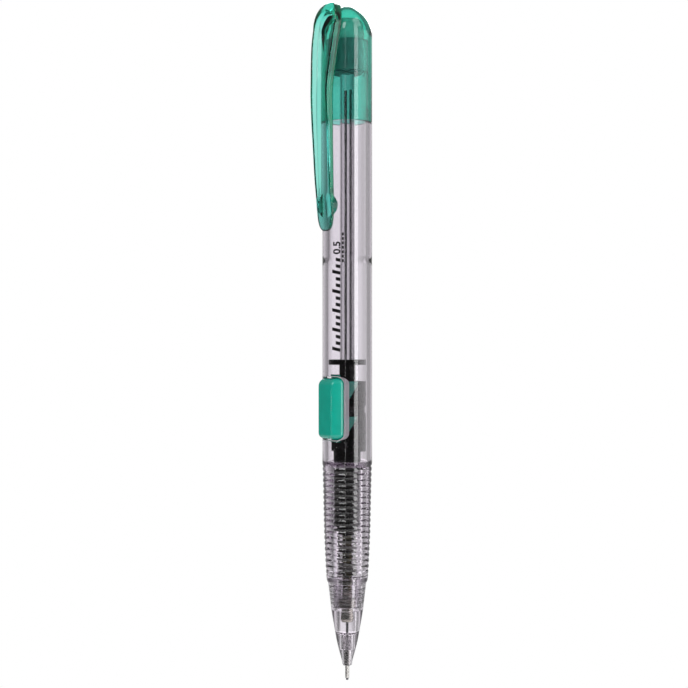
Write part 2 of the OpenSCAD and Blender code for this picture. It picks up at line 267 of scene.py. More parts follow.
def dented(tree, shader, height, depth_mm, strength=1.0):
    """Lets the height raise the surface by up to depth_mm."""
    bump = node(tree, "ShaderNodeBump", {"Height": height, "Distance": depth_mm * MM, "Strength": strength})
    tree.links.new(bump.outputs[0], shader.inputs["Normal"])


def absorbs(tree, colour, per_metre):
    """Fills the piece with a medium that takes colour out of light along its way."""
    volume = node(tree, "ShaderNodeVolumeAbsorption", {"Color": colour, "Density": per_metre})
    tree.links.new(volume.outputs[0], tree.nodes["Material Output"].inputs["Volume"])


def clear_polystyrene():
    """Crystal polystyrene, injection moulded in a polished tool: water clear with a faint lilac
    cast where it is thick, hair-fine handling scuffs, and slow waves from the melt's flow."""
    made, tree, shader, where = finish(
        "clear_polystyrene", Base_Color=srgb("#fbf9fc"), IOR=1.59, Transmission_Weight=1.0
    )
    scuffs = speckle(tree, where, 0.9, 4, (1, 1, 0.25))
    tree.links.new(between(tree, scuffs, 0.006, 0.03), shader.inputs["Roughness"])
    dented(tree, shader, speckle(tree, where, 3.5, 1, (1, 1, 0.2)), 0.004)
    absorbs(tree, (0.76, 0.70, 0.77, 1), 230)
    return made


def frosted_polystyrene():
    """The same plastic where the tool's slide left it matt, on the wall of the button's slot."""
    made, tree, shader, where = finish(
        "frosted_polystyrene", Base_Color=srgb("#f4f1f5"), IOR=1.59, Transmission_Weight=0.5
    )
    tree.links.new(between(tree, speckle(tree, where, 0.3, 3), 0.3, 0.5), shader.inputs["Roughness"])
    absorbs(tree, (0.78, 0.74, 0.80, 1), 60)
    return made


def green_polycarbonate():
    """Tinted clear plastic, moulded: pale green where it is thin and deep green where light
    travels far in it, with a polished face and faint flow waves."""
    made, tree, shader, where = finish(
        "green_clear_plastic", Base_Color=srgb("#d9f7ef"), IOR=1.5, Transmission_Weight=1.0
    )
    scuffs = speckle(tree, where, 1.1, 4, (1, 1, 0.3))
    tree.links.new(between(tree, scuffs, 0.03, 0.09), shader.inputs["Roughness"])
    dented(tree, shader, speckle(tree, where, 3.0, 1, (1, 1, 0.3)), 0.006)
    absorbs(tree, (0.06, 0.885, 0.80, 1), 1150)
    return made


def natural_polypropylene():
    """Extruded natural polypropylene tube: clear with a little haze and fine draw lines."""
    made, tree, shader, where = finish(
        "natural_polypropylene", Base_Color=srgb("#f4f3f5"), IOR=1.49, Transmission_Weight=1.0
    )
    lines = speckle(tree, where, 0.12, 2, (1, 1, 0.02))
    tree.links.new(between(tree, lines, 0.03, 0.1), shader.inputs["Roughness"])
    dented(tree, shader, lines, 0.004)
    absorbs(tree, (0.8, 0.78, 0.8, 1), 200)
    return made


def green_abs():
    """Opaque green ABS, moulded with a gloss face: the colour wanders by a shade, and the face
    has a very fine orange peel and soft rubbed spots."""
    made, tree, shader, where = finish(
        "green_abs", IOR=1.54, Subsurface_Weight=0.08, Subsurface_Radius=(0.001, 0.002, 0.0016)
    )
    shader.inputs["Subsurface Scale"].default_value = 0.3
    mottle = speckle(tree, where, 2.2, 3)
    green = tinted(tree, between(tree, mottle, 0, 1), "#017f6e", "#038775")
    tree.links.new(green, shader.inputs["Base Color"])
    tree.links.new(between(tree, speckle(tree, where, 0.8, 3), 0.15, 0.2), shader.inputs["Roughness"])
    dented(tree, shader, speckle(tree, where, 0.9, 2), 0.0008)
    return made


def black_acetal():
    """Black acetal, moulded: a dense black with a satin bloom and fine tool marks."""
    made, tree, shader, where = finish("black_acetal", IOR=1.48, Specular_IOR_Level=0.16)
    mottle = speckle(tree, where, 1.5, 3)
    tree.links.new(tinted(tree, mottle, "#020101", "#070406"), shader.inputs["Base Color"])
    tree.links.new(between(tree, speckle(tree, where, 0.5, 3), 0.18, 0.32), shader.inputs["Roughness"])
    dented(tree, shader, speckle(tree, where, 0.18, 2, (1, 1, 0.3)), 0.004)
    return made


def turned_metal(name, dark, light, rough, pitch_mm):
    """Metal turned on a lathe: rings of tool marks pitch_mm apart, and stains in its colour."""
    made, tree, shader, where = finish(name, Metallic=1.0)
    stain = speckle(tree, where, 0.8, 3)
    tree.links.new(tinted(tree, between(tree, stain, 0, 1), dark, light), shader.inputs["Base Color"])
    rings = node(
        tree,
        "ShaderNodeTexWave",
        {"Vector": where, "Scale": 1 / (pitch_mm * MM) / 20, "Distortion": 0.6, "Detail": 1.0},
        bands_direction="Z",
    ).outputs["Fac"]
    tree.links.new(between(tree, rings, rough, rough + 0.12), shader.inputs["Roughness"])
    dented(tree, shader, rings, 0.003)
    return made


def moulded_rubber():
    """Natural silicone rubber bush: pale and milky, matt, with a fine grain."""
    made, tree, shader, where = finish("moulded_rubber", IOR=1.41, Transmission_Weight=0.75)
    milk = tinted(tree, speckle(tree, where, 0.4, 3), "#c9c4c8", "#e4e0e3")
    tree.links.new(milk, shader.inputs["Base Color"])
    tree.links.new(between(tree, speckle(tree, where, 0.2, 2), 0.55, 0.8), shader.inputs["Roughness"])
    dented(tree, shader, speckle(tree, where, 0.1, 2), 0.004)
    return made


def graphite_lead():
    """Polymer-bound graphite, extruded: dark grey with a metallic sheen and lines along it."""
    made, tree, shader, where = finish("graphite_lead", Metallic=0.55)
    lines = speckle(tree, where, 0.06, 3, (1, 1, 0.04))
    tree.links.new(tinted(tree, lines, "#26262a", "#55555b"), shader.inputs["Base Color"])
    tree.links.new(between(tree, lines, 0.32, 0.5), shader.inputs["Roughness"])
    dented(tree, shader, lines, 0.003)
    return made


def white_vinyl():
    """White vinyl eraser, cut from an extruded stick: chalky, with pores and soft smudges."""
    made, tree, shader, where = finish(
        "white_vinyl", IOR=1.5, Subsurface_Weight=0.15, Subsurface_Radius=(0.001, 0.001, 0.001)
    )
    shader.inputs["Subsurface Scale"].default_value = 0.5
    smudge = speckle(tree, where, 1.6, 4)
    chalk = tinted(tree, between(tree, smudge, 0, 1), "#cfcbcb", "#dedbda")
    tree.links.new(chalk, shader.inputs["Base Color"])
    tree.links.new(between(tree, speckle(tree, where, 0.5, 3), 0.55, 0.75), shader.inputs["Roughness"])
    dented(tree, shader, speckle(tree, where, 0.16, 3), 0.008)
    return made


def pad_ink():
    """Black pad-printing ink: a thin satin film with a slightly uneven edge tone."""
    made, tree, shader, where = finish("pad_ink", IOR=1.5)
    ink = tinted(tree, speckle(tree, where, 0.3, 3), "#070608", "#161417")
    tree.links.new(ink, shader.inputs["Base Color"])
    tree.links.new(between(tree, speckle(tree, where, 0.25, 2), 0.35, 0.55), shader.inputs["Roughness"])
    dented(tree, shader, speckle(tree, where, 0.08, 2), 0.002)
    return made


CLEAR = clear_polystyrene()
FROSTED = frosted_polystyrene()
TINTED = green_polycarbonate()
TUBE = natural_polypropylene()
BUTTON = green_abs()
BLACK = black_acetal()
# The stem's brass keeps its own olive tone, but both colours are darkened far past bare brass: painted
# shade for the dark inside of the barrel round the chuck's stem.
BRASS_WITH_PAINTED_SHADE = turned_metal("turned_brass_painted_shade", "#2f2a1d", "#6b6348", 0.2, 0.12)
PLATED = turned_metal("plated_brass", "#8d887c", "#c4bfb4", 0.2, 0.12)
STEEL = turned_metal("drawn_steel_tube", "#a9a6a2", "#cfcdca", 0.18, 0.1)
# The spring wire keeps a steel grey, but both colours are darkened near to black: painted shade for the
# densely wound coil inside the barrel.
WIRE_WITH_PAINTED_SHADE = turned_metal("spring_wire", "#3a3837", "#85827f", 0.22, 0.2)
RUBBER = moulded_rubber()
GRAPHITE = graphite_lead()
VINYL = white_vinyl()
INK = pad_ink()

# ---------------------------------------------------------------- shared dimensions

R_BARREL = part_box("barrel")[1].x / MM
Z_SHOULDER = 121.2
CAP_LOW = Z_SHOULDER + 0.03
Z_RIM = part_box("barrel")[1].z / MM
Z_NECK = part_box("barrel")[0].z / MM
Z_DOME = 147.0
R_NECK = 4.68
# The barrel's bores from the back to the front, and the heights where one gives way to the next
R_ERASER, R_TUBE_SPACE, R_BORE, R_SPRING, R_STEM, R_RING = 3.74, 4.05, 4.35, 3.1, 1.35, 2.0
Z_ERASER, Z_TUBE_SPACE, Z_SLIDE, Z_SPRING, Z_RING = 132.2, 91.2, 46.5, 22.0, 17.85
# The screw neck's root and the barrel's front face, which the cone's rim meets
R_ROOT, Z_FRONT = 3.0, 21.0
# The lead, the steel sleeve and its root: radii, and the heights where the sleeve and root end
R_LEAD, R_SLEEVE, R_SLEEVE_ROOT, Z_SLEEVE, Z_SLEEVE_ROOT = 0.28, 0.432, 0.63, 2.8, 6.4
THREAD_PITCH = 0.9
LIP = 0.8
BUTTON_MID = (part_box("side_button")[0].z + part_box("side_button")[1].z) / 2 / MM
BUTTON_HALF = (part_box("side_button")[1].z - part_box("side_button")[0].z) / 2 / MM - LIP


def thread_wave(z, a, low, high):
    """Height from 0 to 1 of a right-hand screw's crest: a rounded saw of the height less the
    turn's share of the pitch, faded out at both ends."""
    phase = np.mod((z - THREAD_PITCH * a / TURN) / THREAD_PITCH, 1)
    crest = smoothstep(1 - np.abs(phase - 0.5) / 0.36)
    return crest * smoothstep((z - low) / 0.5) * smoothstep((high - z) / 0.5)


# ---------------------------------------------------------------- barrel

SLOT_HALF_X, SLOT_HALF_Z, SLOT_ROUND, SLOT_BEVEL = 3.55, BUTTON_HALF + 0.3, 1.4, 0.15
# Shares of the half width and half length where grid lines cross the slot
SLOT_S = np.array([-1, -0.95, -0.87, -0.77, -0.68, -0.605, -0.45, -0.22])
SLOT_S = np.concatenate([SLOT_S, [0], -SLOT_S[::-1]])
SLOT_V = np.array([-1, -0.98, -0.945, -0.9, -0.85, -0.805, -0.6, -0.4, -0.2])
SLOT_V = np.concatenate([SLOT_V, [0], -SLOT_V[::-1]])
SLOT_BLEND = np.array([0.2, 0.45, 0.75, 1.3])
BACK_COLUMNS = np.linspace(0, 1, 104)[1:-1]


def slot_angles(radius, half_x):
    """Angles of the barrel's grid lines at a radius: across the slot by their distance from the
    middle plane, x = s times half_x, and evenly over the rest."""
    edge = math.asin(half_x / radius)
    return np.concatenate([np.arcsin(SLOT_S * half_x / radius), edge + BACK_COLUMNS * (TURN - 2 * edge)])


def slot_heights(half_z):
    """Heights of the grid lines through the slot and just past its ends."""
    past = half_z + SLOT_BLEND
    return BUTTON_MID + np.concatenate([-past[::-1], SLOT_V * half_z, past])


def round_slot(grid, radius, half_x, half_z):
    """Moves the points near the slot's corners so that grid lines follow its round corners: the
    square of side c at each corner is mapped to a quarter disc, a' = a sqrt(1 - b^2 / 2c^2) and
    the same for b, and the move fades to nothing at 1.5 c."""
    x, z = grid[..., 0], grid[..., 2] - BUTTON_MID
    c = SLOT_ROUND
    a, b = np.abs(x) - (half_x - c), np.abs(z) - (half_z - c)
    near = (a > 0) & (b > 0) & (grid[..., 1] < 0)
    m = np.where(near, np.maximum(np.maximum(a, b) / c, 1e-6), 1)
    a1, b1 = a / m, b / m
    safe = lambda q: np.sqrt(np.maximum(1 - q**2 / (2 * c * c), 0))
    weight = np.where(near, np.clip((1.5 - m) / 0.5, 0, 1), 0)
    new_a = weight * a1 * safe(b1) * m + (1 - weight) * a
    new_b = weight * b1 * safe(a1) * m + (1 - weight) * b
    x = np.where(near, np.sign(x) * (half_x - c + new_a), x)
    z = np.where(near, np.sign(z) * (half_z - c + new_b), z)
    y = np.where(near, -np.sqrt(np.maximum(radius**2 - x**2, 0)), grid[..., 1])
    return np.stack([x, y, z + BUTTON_MID], -1)


RIB_PITCH, RIB_LOW = 1.25, 22.6


def barrel_swell(r, z, a):
    """Radius over the outside: the screw on the neck, the grip's ribs, which end at a scalloped
    line that dips under the button, and three snap beads on the rear neck."""
    r = r + 0.2 * thread_wave(z, a, 16.0, 20.9) * (z < 20.95) * (r < 3.3)
    turn = np.abs(np.mod(a + math.pi, TURN) - math.pi)
    edge = 46.9 - 1.2 * np.exp(-((turn / 0.45) ** 2)) + 0.5 * np.exp(-(((turn - 0.95) / 0.3) ** 2))
    groove = 1 - np.abs(np.sin(math.pi * (z - RIB_LOW) / RIB_PITCH))
    on_grip = smoothstep((edge - z) / 0.35) * (z > RIB_LOW) * (r > 4.5) * (z < 60)
    r = r - on_grip * (0.03 + 0.2 * groove)
    for i in range(3):
        r = r + 0.09 * np.exp(-(((z - 121.95 - 0.95 * i) / 0.16) ** 2)) * (z > 121.4) * (r > 4.6)
    return r


def barrel():
    """The barrel's wall as one closed ring profile carried round the axis, less the grid cells
    that the button's slot takes, with the slot's own wall between the two faces."""
    front = rounded_line(
        [(R_RING, Z_NECK + 0.4, 0), (R_RING, Z_NECK, 0.08), (2.84, Z_NECK, 0.1),
         (R_ROOT, Z_NECK + 0.3, 0.1), (R_ROOT, Z_FRONT, 0.12), (4.28, Z_FRONT, 0.12), (4.46, 21.4, 0.2),
         (4.72, 23.5, 0.8), (5.12, 32, 1.5), (5.36, 43, 1.5), (R_BARREL, 46.2, 0.8), (R_BARREL, 48, 0)]
    )
    rear = rounded_line(
        [(R_BARREL, 70, 0), (R_BARREL, Z_SHOULDER, 0.12), (R_NECK, Z_SHOULDER, 0.06),
         (R_NECK, Z_RIM, 0.25), (R_ERASER, Z_RIM, 0.2)]
    )
    inner_rear = rounded_line(
        [(R_ERASER, Z_RIM, 0), (R_ERASER, Z_ERASER, 0.05), (R_TUBE_SPACE, Z_ERASER - 0.4, 0.05),
         (R_TUBE_SPACE, Z_TUBE_SPACE + 0.7, 0.6), (R_BORE, Z_TUBE_SPACE - 0.7, 0.6), (R_BORE, 70, 0)]
    )
    inner_front = rounded_line(
        [(R_BORE, 48, 0), (R_BORE, Z_SLIDE + 0.9, 0.3), (R_SPRING, Z_SLIDE, 0.3),
         (R_SPRING, Z_SPRING, 0.2), (R_STEM, Z_SPRING, 0.1), (R_STEM, Z_RING, 0.1),
         (R_RING, Z_RING, 0.08), (R_RING, Z_NECK + 0.4, 0)]
    )
    front = divided(front, 0.085)
    rear, inner_rear, inner_front = (divided(p, 5) for p in (rear, inner_rear, inner_front))
    beads = np.array([[R_NECK, z] for z in np.arange(121.45, 124.6, 0.07)])
    at = np.searchsorted(rear[:, 1], 121.4)
    rear = np.concatenate([rear[:at], beads, rear[at:][rear[at:, 1] > beads[-1, 1]]])

    wide_x, wide_z = SLOT_HALF_X + SLOT_BEVEL, SLOT_HALF_Z + SLOT_BEVEL
    outer_z, inner_z = slot_heights(wide_z), slot_heights(SLOT_HALF_Z)[::-1]
    outer_slot = np.stack([np.full(len(outer_z), R_BARREL), outer_z], 1)
    inner_slot = np.stack([np.full(len(inner_z), R_BORE), inner_z], 1)
    outer_line = np.concatenate([front[:-1], outer_slot, rear[1:]])
    inner_line = np.concatenate([inner_rear[1:-1], inner_slot, inner_front[1:-1]])
    outer = revolved(outer_line, slot_angles(R_BARREL, wide_x), barrel_swell)
    inner = revolved(inner_line, slot_angles(R_BORE, SLOT_HALF_X))
    o0, i0 = len(front) - 1, len(inner_rear) - 2
    o1, i1 = o0 + len(outer_z), i0 + len(inner_z)
    outer[o0:o1] = round_slot(outer[o0:o1], R_BARREL, wide_x, wide_z)
    inner[i0:i1] = round_slot(inner[i0:i1], R_BORE, SLOT_HALF_X, SLOT_HALF_Z)
    grid = np.concatenate([outer, inner])
    rows, cols = grid.shape[:2]
    s, v, past = len(SLOT_S), len(SLOT_V), len(SLOT_BLEND)
    keep = np.ones((rows, cols), bool)
    first_o, first_i = o0 + past, len(outer) + i0 + past
    keep[first_o : first_o + v - 1, : s - 1] = False
    keep[first_i : first_i + v - 1, : s - 1] = False
    points, faces = skin(grid, True, keep)

    # The slot's edge, once round: (row from the bottom, column)
    edge = [(0, j) for j in range(s - 1)] + [(i, s - 1) for i in range(v - 1)]
    edge += [(v - 1, j) for j in range(s - 1, 0, -1)] + [(i, 0) for i in range(v - 1, 0, -1)]
    edge = np.array(edge)
    loop_o = (first_o + edge[:, 0]) * cols + edge[:, 1]
    loop_i = (first_i + v - 1 - edge[:, 0]) * cols + edge[:, 1]
    lip_r = R_BARREL - SLOT_BEVEL
    lip = revolved(
        np.stack([np.full(v, lip_r), BUTTON_MID + SLOT_V * SLOT_HALF_Z], 1), slot_angles(lip_r, SLOT_HALF_X)
    )
    lip = round_slot(lip, lip_r, SLOT_HALF_X, SLOT_HALF_Z)[edge[:, 0], edge[:, 1]]
    loop_l = len(points) + np.arange(len(edge))
    points = np.concatenate([points, lip])
    for a, b in ((loop_o, loop_l), (loop_l, loop_i)):
        faces += np.stack([a, np.roll(a, -1), np.roll(b, -1), b], -1).tolist()
    shell = mesh("barrel_shell", [(points, faces)], CLEAR, 30)
    shell.data.materials.append(FROSTED)
    face_slots = np.zeros(len(shell.data.polygons), int)
    face_slots[-2 * len(edge) :] = 1
    shell.data.polygons.foreach_set("material_index", face_slots)
    return shell


place(barrel(), "barrel", "clear_plastic", "barrel")

# ---------------------------------------------------------------- front cone

EVEN = np.arange(96) * TURN / 96


def cone_swell(r, z, a):
    """Radius inside the cone's skirt: a screw groove that keeps clear of the barrel's crests."""
    return r + 0.12 * thread_wave(z, a, 15.9, 20.7) * (r < 3.35) * (r > 3.1)


def front_cone():
    """The cone's wall as a closed ring profile carried round the axis."""
    outside = eased(
        [(1.06, 3.15), (1.2, 4.0), (1.75, 6.0), (2.3, 8.2), (2.7, 10.4), (2.9, 11.5), (3.1, 12.6),
         (3.46, 14.8), (3.72, 17.0), (3.95, 19.0), (4.14, 20.6)], 5
    )
    tip = rounded_line([(0.65, 3.4, 0), (0.65, 2.8, 0.08), (0.92, 2.8, 0.12), (1.06, 3.15, 0)])
    skirt = rounded_line([(4.14, 20.6, 0), (4.16, 20.94, 0.12), (3.36, 20.94, 0.06), (3.24, 20.7, 0)])
    inside = rounded_line(
        [(3.24, 20.7, 0), (3.24, 15.7, 0.1), (2.35, 15.7, 0.1), (2.35, 14.95, 0.1), (1.8, 14.95, 0.1),
         (1.8, 10.3, 0.2), (1.3, 9.8, 0.1), (1.0, 9.8, 0.1), (1.0, Z_SLEEVE_ROOT, 0.08),
         (0.65, Z_SLEEVE_ROOT, 0.05), (0.65, 3.4, 0)]
    )
    line = np.concatenate([tip[:-1], outside[:-1], skirt[:-1], divided(inside, 0.08)[:-1]])
    return mesh("cone_shell", [skin(revolved(line, EVEN, cone_swell), True)], CLEAR)


place(front_cone(), "nose", "clear_plastic", "front_cone")

# ---------------------------------------------------------------- cap and clip

CAP_BORE = 4.82
DOME_HIGH, DOME_POWER, CAP_WALL = 6.4, 1.7, 0.9


def dome_line(radius, top, rows):
    """The dome's outline: r = R (1 - s^p)^(1/p), with s the share of the dome's height."""
    s = np.sin(np.linspace(0, math.pi / 2, rows))
    r = radius * (1 - s**DOME_POWER) ** (1 / DOME_POWER)
    return np.stack([r, top - DOME_HIGH + s * DOME_HIGH], 1)[:-1]


# Clip stations: height, distance of the face from the axis, half width, thickness, channel
CLIP = [
    (97.4, 6.06, 0.7, 0.35, 0.0), (97.65, 6.2, 1.25, 0.6, 0.0), (98.3, 6.32, 1.85, 0.78, 0.0),
    (99.6, 6.42, 2.3, 0.9, 0.0), (101.5, 6.54, 2.52, 1.02, 0.0), (104.2, 6.78, 2.56, 1.2, 0.02),
    (106, 6.94, 2.6, 1.32, 0.45), (109, 7.2, 2.68, 1.45, 0.7), (115.5, 7.58, 2.78, 1.65, 0.95),
    (121, 7.9, 2.86, 1.85, 1.1), (126.5, 8.15, 2.84, 2.05, 1.3), (130, 7.98, 3.0, 2.1, 1.4),
    (134, 7.62, 3.4, 2.1, 1.4), (138, 7.15, 3.75, 2.05, 1.4), (141.5, 6.55, 3.9, 2.1, 1.4),
]
# The arch at the clip's top: where it starts, how high it is, how far its face leans back
ARCH_LOW, ARCH_HIGH, ARCH_LEAN = 141.5, 5.5, 2.0
# Heights between which the channel's sides close in a round end
CHANNEL_CLOSES, CHANNEL_TOP, CHANNEL_HALF = 140.6, 145.0, 3.15
CLIP_RIM = 0.7
# The pad: its radius and height, its face's distance and back's distance, its play on the barrel
PAD_R, PAD_Z, PAD_FACE, PAD_BACK, PAD_GAP = 2.65, 102.9, 6.35, 4.3, 0.1


def corner_curve(before, corner, after, reach, steps=4):
    """For rows of corners: a quadratic curve that cuts each corner at the distance reach."""
    to_b, to_a = before - corner, after - corner
    len_b, len_a = (np.linalg.norm(q, axis=1, keepdims=True) + 1e-9 for q in (to_b, to_a))
    cut = np.minimum(np.minimum(reach, 0.45 * len_b), 0.45 * len_a)
    start, end = corner + to_b / len_b * cut, corner + to_a / len_a * cut
    t = np.linspace(0, 1, steps + 1)[None, :, None]
    return (1 - t) ** 2 * start[:, None] + 2 * t * (1 - t) * corner[:, None] + t**2 * end[:, None]


def clip_stations():
    """The stations joined by a smooth curve, then the arch: with t from 0 to a quarter turn, the
    height goes with sin t, the half width with cos t and the lean with 1 - cos t."""
    straight = eased(CLIP, 6)[:-1]
    t = np.linspace(0, math.radians(88), 26)
    last = np.array(CLIP[-1])
    arch = np.stack(
        [
            ARCH_LOW + ARCH_HIGH * np.sin(t),
            last[1] - ARCH_LEAN * (1 - np.cos(t)),
            last[2] * np.cos(t) ** 0.9,
            last[3] + 0.2 * np.sin(t),
            np.full(len(t), last[4]),
        ],
        1,
    )
    return np.concatenate([straight, arch])


def clip_shell():
    """Level sections stacked up the clip: a channel open to the outside, with rounded corners,
    whose sides close in a half ellipse near the top."""
    height, out, half, thick, deep = clip_stations().T
    rim = np.minimum(CLIP_RIM, 0.4 * half)
    closed = np.clip((height - CHANNEL_CLOSES) / (CHANNEL_TOP - CHANNEL_CLOSES), 0, 1)
    open_half = np.minimum(half - rim, CHANNEL_HALF * np.sqrt(1 - closed**2) + 0.12)
    deep = np.maximum(deep, 0.0) * (1 - closed**2) ** 0.3
    both = lambda x, d: np.stack([x, d], 1)
    zero = 0 * half
    centre, floor = both(zero, deep), both(open_half, deep)
    rim_in, rim_out = both(open_half, zero), both(half, zero)
    base_out, base = both(0.93 * half, thick), both(zero, thick)
    side = np.concatenate(
        [
            corner_curve(centre, floor, rim_in, 0.4),
            corner_curve(floor, rim_in, rim_out, 0.2),
            corner_curve(rim_in, rim_out, base_out, 0.3),
            corner_curve(rim_out, base_out, base, 0.45),
        ],
        1,
    )
    mirrored = side[:, ::-1] * [-1, 1]
    section = np.concatenate([centre[:, None], side, base[:, None], mirrored], 1)
    level = np.broadcast_to(height[:, None], section.shape[:2])
    return skin(np.stack([section[..., 0], section[..., 1] - out[:, None], level], -1))


def clip_pad():
    """The pad behind the clip's end: a round button with a softened rim, hollowed to sit round
    the barrel."""
    line = rounded_line(
        [(0.05, -PAD_FACE, 0), (PAD_R, -PAD_FACE, 0.3), (PAD_R, -PAD_BACK, 0.1), (0.05, -PAD_BACK, 0)], 5
    )
    disc = revolved(divided(line, 0.6), EVEN[::2])
    disc = np.stack([disc[..., 0], disc[..., 2], disc[..., 1] + PAD_Z], -1)
    hollow = np.array([(R_BARREL + PAD_GAP, PAD_Z - 4.0), (R_BARREL + PAD_GAP, PAD_Z + 4.0)])
    pad = mesh("clip_pad", [skin(disc)], TINTED)
    return combined(pad, mesh("pad_hollow", [skin(revolved(hollow, EVEN))], TINTED), "DIFFERENCE")


def clip_cap():
    """Dome and skirt, with the clip joined on and the bore taken out of both."""
    low = CAP_LOW
    skirt = rounded_line(
        [(CAP_BORE - 0.4, low, 0), (R_BARREL, low, 0.14), (R_BARREL, Z_DOME - DOME_HIGH, 0)]
    )
    outer = np.concatenate([divided(skirt[:-1], 4), dome_line(R_BARREL, Z_DOME, 26)])
    bore = np.array([(CAP_BORE, low - 2.0), (CAP_BORE, low), (CAP_BORE, Z_DOME - CAP_WALL - DOME_HIGH)])
    inner = np.concatenate([divided(bore[:-1], 4), dome_line(CAP_BORE, Z_DOME - CAP_WALL, 26)])
    cap = mesh("cap_with_clip", [skin(revolved(outer, EVEN))], TINTED)
    clip = combined(mesh("clip_solid", [clip_shell()], TINTED), clip_pad(), "UNION")
    cap = combined(cap, clip, "UNION")
    cap = combined(cap, mesh("cap_hollow", [skin(revolved(inner, EVEN))], TINTED), "DIFFERENCE")
    cap.data.shade_smooth()
    cap.data.set_sharp_from_angle(angle=math.radians(40))
    return cap


place(clip_cap(), "cap", "tinted_plastic", "clip_cap")

# ---------------------------------------------------------------- button

BUTTON_FACE, BUTTON_HALF_FACE = 6.38, 2.25
SKIRT, PLATE_IN, EAR_OUT, EAR_IN = 4.2, 2.9, 3.4, 2.45
RAMP = 1.34
# Heights of each pair of ears: where its ramp starts at the plate, and its top
EARS = ((53.4, 57.3), (60.3, 64.9))


def arc_drop(t, size):
    """How far a quarter round of radius size falls short of its top at a distance t from its
    end."""
    return size - np.sqrt(np.maximum(size**2 - (size - np.clip(t, 0, size)) ** 2, 0))


def side_button():
    """Sections across the barrel stacked along it: a trapezoid with rounded shoulders, whose face
    falls in a quarter round at each end and whose plan has round corners. The plate's ears and
    end lips are prisms inside."""
    low, high = BUTTON_MID - BUTTON_HALF, BUTTON_MID + BUTTON_HALF
    near = 2.0 * (1 - np.cos(np.linspace(0, math.pi / 2, 12)))
    z = np.concatenate([low + near, np.linspace(low + 2.4, high - 2.6, 12), (high - near)[::-1]])
    face = BUTTON_FACE - np.maximum(arc_drop(z - low, 1.25), arc_drop(high - z, 1.9))
    pull = np.maximum(arc_drop(z - low, 1.2), arc_drop(high - z, 1.3))
    slope = (EAR_OUT - BUTTON_HALF_FACE) / (BUTTON_FACE - SKIRT)
    base_half = EAR_OUT - pull
    face_half = np.maximum(BUTTON_HALF_FACE + (BUTTON_FACE - face) * slope * 0.5 - 0.85 * pull, 0.4)
    skirt = np.minimum(SKIRT, face - 0.15)
    zero = 0 * z
    both = lambda x, y: np.stack([x, y], 1)
    inner_mid, inner = both(zero, zero + PLATE_IN), both(base_half, zero + PLATE_IN)
    hip, shoulder, top = both(base_half, skirt), both(face_half, face), both(zero, face + 0.03)
    side = np.concatenate(
        [
            corner_curve(inner_mid, inner, hip, 0.1, 2),
            corner_curve(inner, hip, shoulder, 0.35, 4),
            corner_curve(hip, shoulder, top, 0.45, 7),
        ],
        1,
    )
    section = np.concatenate([inner_mid[:, None], side, top[:, None], side[:, ::-1] * [-1, 1]], 1)
    height = np.broadcast_to(z[:, None], section.shape[:2])
    shells = [skin(np.stack([section[..., 0], -section[..., 1], height], -1))]
    root = PLATE_IN + 0.2
    for bottom, top_z in EARS:
        ear = [(-root, bottom - 0.2 * RAMP), (0, bottom + PLATE_IN * RAMP), (0, top_z), (-root, top_z)]
        for sign in (-1, 1):
            x = sorted((sign * EAR_IN, sign * EAR_OUT))
            shells.append(prism(ear, *x))
    lip_half, lip_out = 1.2, 3.5
    lip = [(-lip_half, -lip_out), (lip_half, -lip_out), (lip_half, -PLATE_IN), (-lip_half, -PLATE_IN)]
    shells.append(prism(lip, low - LIP, high + LIP, 2))
    return mesh("press_button", shells, BUTTON, 50)


place(side_button(), "button", "button_plastic", "side_button")

# ---------------------------------------------------------------- works inside


def tube(name, inner, outer, low, high, material, edge=0.05, longest=6):
    """A straight tube as a closed ring profile with its edges broken by edge."""
    line = rounded_line(
        [(inner, (low + high) / 2, 0), (inner, low, edge), (outer, low, edge), (outer, high, edge),
         (inner, high, edge), (inner, (low + high) / 2, 0)], 3
    )[:-1]
    return mesh(name, [skin(revolved(divided(line, longest), EVEN[::2]), True)], material)


def rod(name, radius, low, high, tip, material, x=0.0, y=0.0):
    """A round stick whose ends are worn to a soft edge of the depth tip."""
    line = rounded_line([(0.02, low, 0), (radius, low, tip), (radius, high, tip / 2), (0.02, high, 0)], 5)
    points, faces = skin(revolved(divided(line, 6), EVEN[::4]))
    return mesh(name, [(points + [x, y, 0], faces)], material)


def middle(name):
    """The x and y of a node's middle, in millimetres."""
    low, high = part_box(name)
    return (low.x + high.x) / 2 / MM, (low.y + high.y) / 2 / MM


tube_low, tube_high = (c.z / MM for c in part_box("lead_tube"))
place(tube("reservoir_tube", 1.2, 1.62, tube_low, tube_high, TUBE), "carriage", "tube_plastic", "lead_tube")

lead_low, lead_high = (c.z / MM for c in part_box("loaded_lead"))
lead = rod("lead_in_use", R_LEAD, lead_low, lead_high, 0.16, GRAPHITE)
place(lead, "lead", "graphite", "loaded_lead")
for letter in "ab":
    spare = f"spare_lead_{letter}"
    low, high = (c.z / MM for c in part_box(spare))
    stick = rod(f"spare_stick_{letter}", R_LEAD, low, high, 0.05, GRAPHITE, *middle(spare))
    place(stick, "carriage", "graphite", spare)


def guide_sleeve():
    """The steel guide tube: a drawn front stretch with a broken end, and its thicker root."""
    bore = R_LEAD + 0.02
    line = rounded_line(
        [(bore, 3.0, 0), (bore, 0.0, 0.05), (R_SLEEVE, 0.0, 0.07), (R_SLEEVE, Z_SLEEVE, 0.05),
         (R_SLEEVE_ROOT, Z_SLEEVE, 0.05), (R_SLEEVE_ROOT, Z_SLEEVE_ROOT, 0.06),
         (bore, Z_SLEEVE_ROOT, 0.05), (bore, 3.0, 0)], 4
    )[:-1]
    return mesh("guide_sleeve", [skin(revolved(line, EVEN[::2]), True)], STEEL)


place(guide_sleeve(), "nose_tube", "sleeve_steel", "lead_sleeve")


